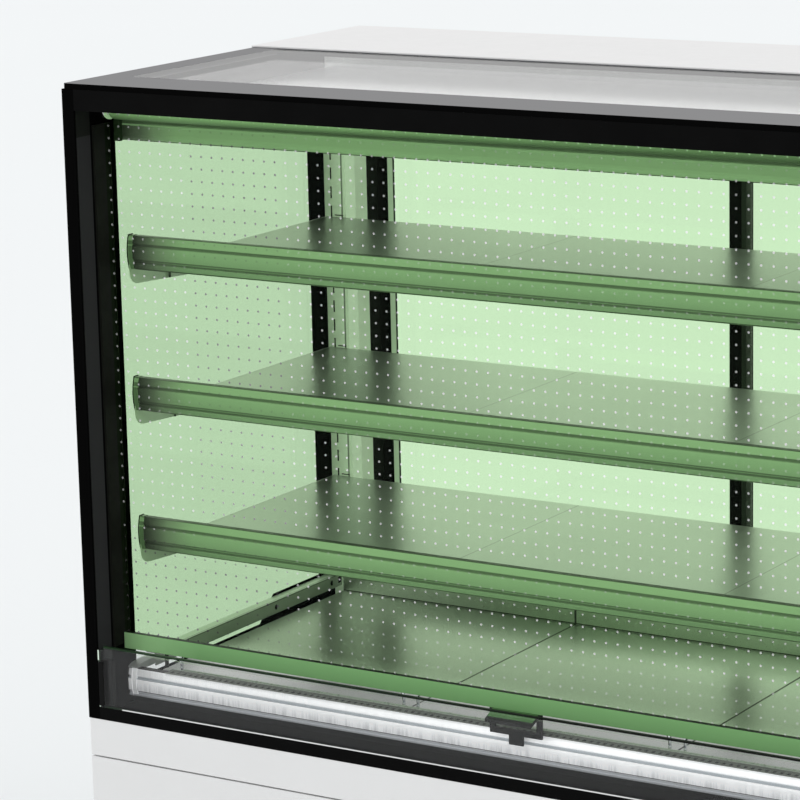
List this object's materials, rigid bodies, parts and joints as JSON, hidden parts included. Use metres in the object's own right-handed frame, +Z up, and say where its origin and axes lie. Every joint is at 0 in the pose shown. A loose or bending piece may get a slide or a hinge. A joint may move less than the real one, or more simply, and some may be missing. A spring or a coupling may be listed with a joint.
{
  "type": "bakery display case",
  "caption": "Glass-sided bakery display case with open shelves and price rails, a pull-down night blind in front and sliding glass doors behind, on a white base.",
  "frame": {"origin": "centre of the case's bounding box on the floor, under the levelling feet", "axes": "+X to the right seen from the customer's side, along the longest side; +Y from the customer's side to the rear doors; +Z up"},
  "size_m": [1.4, 0.79, 1.35],
  "materials": {
    "white_paint": "satin",
    "grey_paint": "satin",
    "black_paint": "semi-gloss",
    "side_glass": "polished, insulated unit with a black border",
    "clear_glass": "polished",
    "steel": "satin",
    "aluminium": "satin anodised",
    "chrome": "polished",
    "black_plastic": "matte",
    "blind_film": "clear green film with rows of light dots",
    "lamp": "opal",
    "foam": "matte",
    "fins": "bare",
    "panel_core": "white, satin",
    "machine_black": "painted"
  },
  "bodies": {
    "case": {"base_frame": "black_paint", "front_fascia": "panel_core", "front_lower_panel": "panel_core", "side_panel_left": "panel_core", "side_panel_right": "panel_core", "rear_service_panel": "panel_core", "base_tub": "foam", "side_glass_left": "side_glass", "side_glass_right": "side_glass", "top_glass": "clear_glass", "rear_top_cover": "white_paint", "front_beam": "black_paint", "front_sill": "black_paint", "front_glass": "clear_glass", "rear_frame": "grey_paint", "canopy": "grey_paint", "led_lamp": "lamp", "upright_left": "grey_paint", "upright_right": "grey_paint", "shelf_deck_1": "grey_paint", "shelf_deck_2": "grey_paint", "shelf_deck_3": "grey_paint", "shelf_bracket_1_left": "grey_paint", "shelf_bracket_1_right": "grey_paint", "shelf_bracket_2_left": "grey_paint", "shelf_bracket_2_right": "grey_paint", "shelf_bracket_3_left": "grey_paint", "shelf_bracket_3_right": "grey_paint", "price_rail_1": "aluminium", "price_rail_2": "aluminium", "price_rail_3": "aluminium", "deck_tray_1": "steel", "deck_tray_2": "steel", "deck_tray_3": "steel", "wire_fence_1": "chrome", "wire_fence_2": "chrome", "wire_fence_3": "chrome", "nose_rail": "aluminium", "air_grille": "grey_paint", "side_rail_left": "grey_paint", "side_rail_right": "grey_paint", "blind_film": "blind_film", "evaporator_coil": "fins", "condenser_coil": "fins", "compressor": "machine_black", "control_box": "black_plastic"},
    "blind_carriage": {"hem_bar": "aluminium", "pull_handle": "black_plastic"},
    "blind_tube": {"blind_roller": "aluminium"},
    "door_left": {"door_left_frame": "black_paint", "door_left_glass": "clear_glass"},
    "door_right": {"door_right_frame": "black_paint", "door_right_glass": "clear_glass"},
    "evaporator_fan": {"evaporator_fan": "black_plastic"},
    "condenser_fan": {"condenser_fan": "black_plastic"},
    "light_switch": {"light_switch": "black_plastic"},
    "foot_front_left": {"foot_front_left": "black_plastic"},
    "foot_front_right": {"foot_front_right": "black_plastic"},
    "foot_rear_left": {"foot_rear_left": "black_plastic"},
    "foot_rear_right": {"foot_rear_right": "black_plastic"}
  },
  "joints": [
    {"name": "blind_lift", "type": "slide", "parent": "case", "child": "blind_carriage", "axis": [0, 0, 1], "range_m": [0, 0.75], "deforming": ["blind_film"]},
    {"name": "blind_roller_turn", "type": "hinge", "parent": "case", "child": "blind_tube", "pos_m": [0, -0.3115, 1.304], "axis": [-1, 0, 0], "range_deg": [0, 2460]},
    {"name": "door_left_slide", "type": "slide", "parent": "case", "child": "door_left", "axis": [1, 0, 0], "range_m": [0, 0.64]},
    {"name": "door_right_slide", "type": "slide", "parent": "case", "child": "door_right", "axis": [-1, 0, 0], "range_m": [0, 0.64]},
    {"name": "evaporator_fan_spin", "type": "hinge", "parent": "case", "child": "evaporator_fan", "pos_m": [0, -0.145, 0.36], "axis": [0, 1, 0], "continuous": true},
    {"name": "condenser_fan_spin", "type": "hinge", "parent": "case", "child": "condenser_fan", "pos_m": [-0.17, -0.145, 0.184], "axis": [0, 1, 0], "continuous": true},
    {"name": "light_switch_rock", "type": "hinge", "parent": "case", "child": "light_switch", "pos_m": [0.52, 0.385, 0.385], "axis": [1, 0, 0], "range_deg": [-16, 0]},
    {"name": "foot_front_left_turn", "type": "hinge", "parent": "case", "child": "foot_front_left", "pos_m": [-0.64, -0.325, 0], "axis": [0, 0, 1], "continuous": true},
    {"name": "foot_front_right_turn", "type": "hinge", "parent": "case", "child": "foot_front_right", "pos_m": [0.64, -0.325, 0], "axis": [0, 0, 1], "continuous": true},
    {"name": "foot_rear_left_turn", "type": "hinge", "parent": "case", "child": "foot_rear_left", "pos_m": [-0.64, 0.325, 0], "axis": [0, 0, 1], "continuous": true},
    {"name": "foot_rear_right_turn", "type": "hinge", "parent": "case", "child": "foot_rear_right", "pos_m": [0.64, 0.325, 0], "axis": [0, 0, 1], "continuous": true}
  ],
  "couplings": [
    {"joint": "blind_roller_turn", "follows": "blind_lift", "rad_per_m": 57.143}
  ]
}
